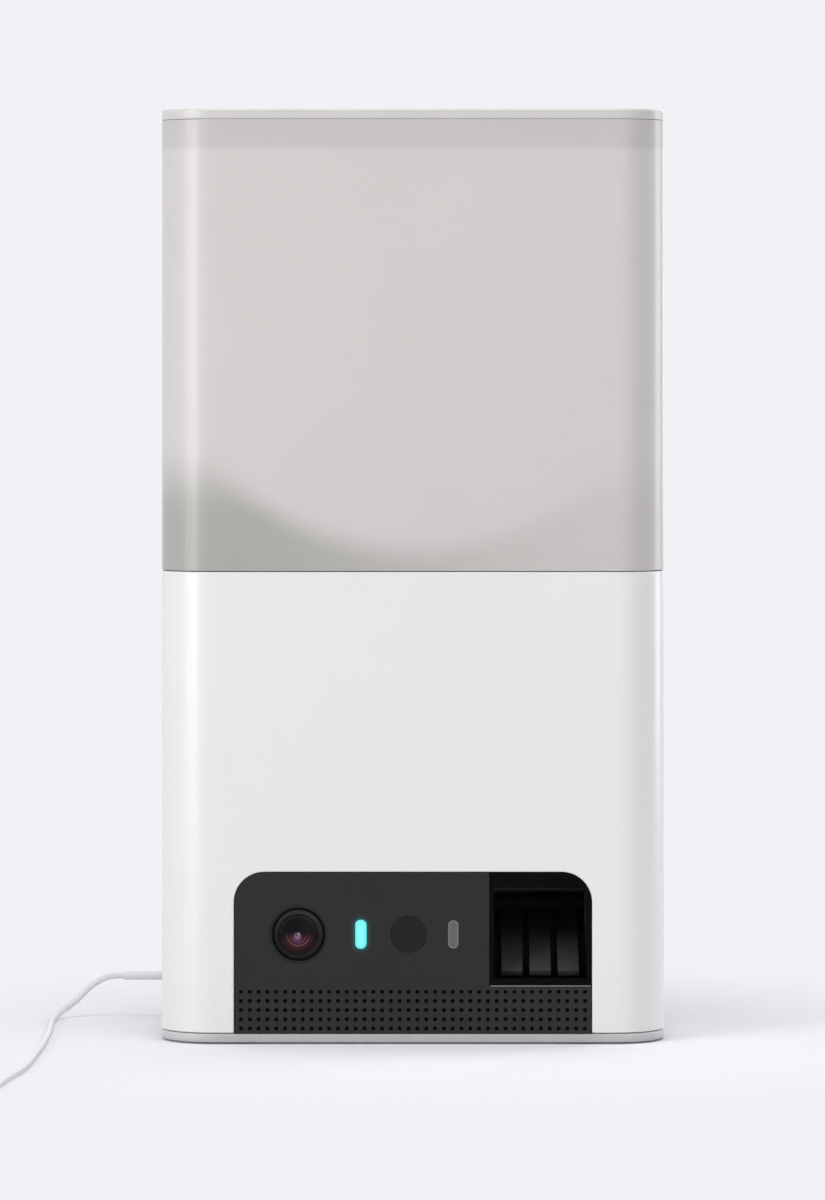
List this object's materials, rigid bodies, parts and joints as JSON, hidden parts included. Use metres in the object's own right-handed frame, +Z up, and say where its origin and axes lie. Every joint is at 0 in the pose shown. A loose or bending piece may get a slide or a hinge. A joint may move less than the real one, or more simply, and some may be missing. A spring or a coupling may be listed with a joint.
{
  "type": "treat tossing pet camera",
  "caption": "Upright pet camera with a lift-off frosted treat container, portioning wheel, sprung toss paddle, lens, status lights and speaker grille in a black lower panel.",
  "frame": {"origin": "middle of the footprint, on the table", "axes": "+X to the right as seen from the front, front faces -Y, +Z up"},
  "size_m": [0.2088, 0.205, 0.246],
  "materials": {
    "frosted": "frosted translucent, satin",
    "lid_plastic": "satin",
    "silicone": "matt",
    "white_plastic": "satin gloss",
    "grey_base": "matt",
    "foot_rubber": "matt",
    "steel": "brushed",
    "black_panel": "fine satin",
    "black_cloth": "acoustic mesh",
    "black_plastic": "satin",
    "lens_ring": "gloss",
    "lens_metal": "anodised grey",
    "lens_glass": "coated glass",
    "circuit_board": "solder mask",
    "status_blue": "lit diffuser",
    "infrared_dark": "gloss",
    "sensor_grey": "satin diffuser",
    "paddle_plastic": "satin",
    "gear_plastic": "natural acetal",
    "motor_metal": "plated",
    "inner_plastic": "matt",
    "button_plastic": "satin",
    "cord_jacket": "soft satin"
  },
  "bodies": {
    "base_unit": {"body_shell": "white_plastic", "base_plate": "grey_base", "base_feet": "foot_rubber", "base_screws": "steel", "front_panel": "black_panel", "grille_mesh": "black_cloth", "speaker": "black_plastic", "microphone": "circuit_board", "lens_bezel": "lens_ring", "lens_barrel": "lens_metal", "lens_glass": "lens_glass", "lens_holder": "black_plastic", "camera_board": "circuit_board", "light_board": "circuit_board", "status_light_pipe": "status_blue", "infrared_window": "infrared_dark", "sensor_light_pipe": "sensor_grey", "toss_chamber": "black_plastic", "paddle_shaft": "steel", "paddle_spring": "steel", "toss_motor": "motor_metal", "toss_bracket": "inner_plastic", "drop_duct": "inner_plastic", "hopper_deck": "inner_plastic", "deck_screws": "steel", "wheel_shaft": "steel", "idler_shaft": "steel", "wheel_motor": "motor_metal", "wheel_cover": "inner_plastic", "motor_dome": "inner_plastic", "main_board": "circuit_board", "power_board": "circuit_board", "power_socket": "motor_metal", "reset_switch": "black_plastic", "power_plug": "cord_jacket", "cord_sleeve": "cord_jacket", "power_cord": "cord_jacket", "cord_coil": "cord_jacket", "cord_tail": "cord_jacket", "cord_plug": "cord_jacket"},
    "container": {"treat_container": "frosted"},
    "lid": {"lid": "lid_plastic", "lid_seal": "silicone"},
    "portion_wheel": {"portion_wheel": "gear_plastic"},
    "idler_gear": {"idler_gear": "gear_plastic"},
    "motor_pinion": {"motor_pinion": "gear_plastic"},
    "toss_paddle": {"toss_paddle": "paddle_plastic"},
    "toss_pinion": {"toss_pinion": "gear_plastic"},
    "reset_button": {"reset_button": "button_plastic"}
  },
  "joints": [
    {"name": "container_lift", "type": "slide", "parent": "base_unit", "child": "container", "axis": [0, 0, 1], "range_m": [0, 0.15]},
    {"name": "lid_lift", "type": "slide", "parent": "container", "child": "lid", "axis": [0, 0, 1], "range_m": [0, 0.06]},
    {"name": "wheel_turn", "type": "hinge", "parent": "base_unit", "child": "portion_wheel", "pos_m": [0.01678, 0, 0.1136], "axis": [0, 0, 1], "continuous": true},
    {"name": "idler_turn", "type": "hinge", "parent": "base_unit", "child": "idler_gear", "pos_m": [-0.02337, 0, 0.1093], "axis": [0, 0, 1], "continuous": true},
    {"name": "pinion_turn", "type": "hinge", "parent": "base_unit", "child": "motor_pinion", "pos_m": [-0.041, 0, 0.1093], "axis": [0, 0, 1], "continuous": true},
    {"name": "paddle_swing", "type": "hinge", "parent": "base_unit", "child": "toss_paddle", "pos_m": [0.03355, -0.007, 0.0342], "axis": [-1, 0, 0], "range_deg": [0, 35], "stiffness_Nm_per_rad": 0.004, "springref_deg": -11.46},
    {"name": "toss_pinion_turn", "type": "hinge", "parent": "base_unit", "child": "toss_pinion", "pos_m": [0.0145, -0.007, 0.01506], "axis": [-1, 0, 0], "range_deg": [-60.5, 0.5]},
    {"name": "reset_press", "type": "slide", "parent": "base_unit", "child": "reset_button", "axis": [0, -1, 0], "range_m": [0, 0.0008], "stiffness_N_per_m": 300, "springref_m": -0.0004}
  ],
  "couplings": [
    {"joint": "idler_turn", "follows": "wheel_turn", "ratio": -3},
    {"joint": "pinion_turn", "follows": "wheel_turn", "ratio": 4},
    {"joint": "toss_pinion_turn", "follows": "paddle_swing", "ratio": -1.7143}
  ]
}
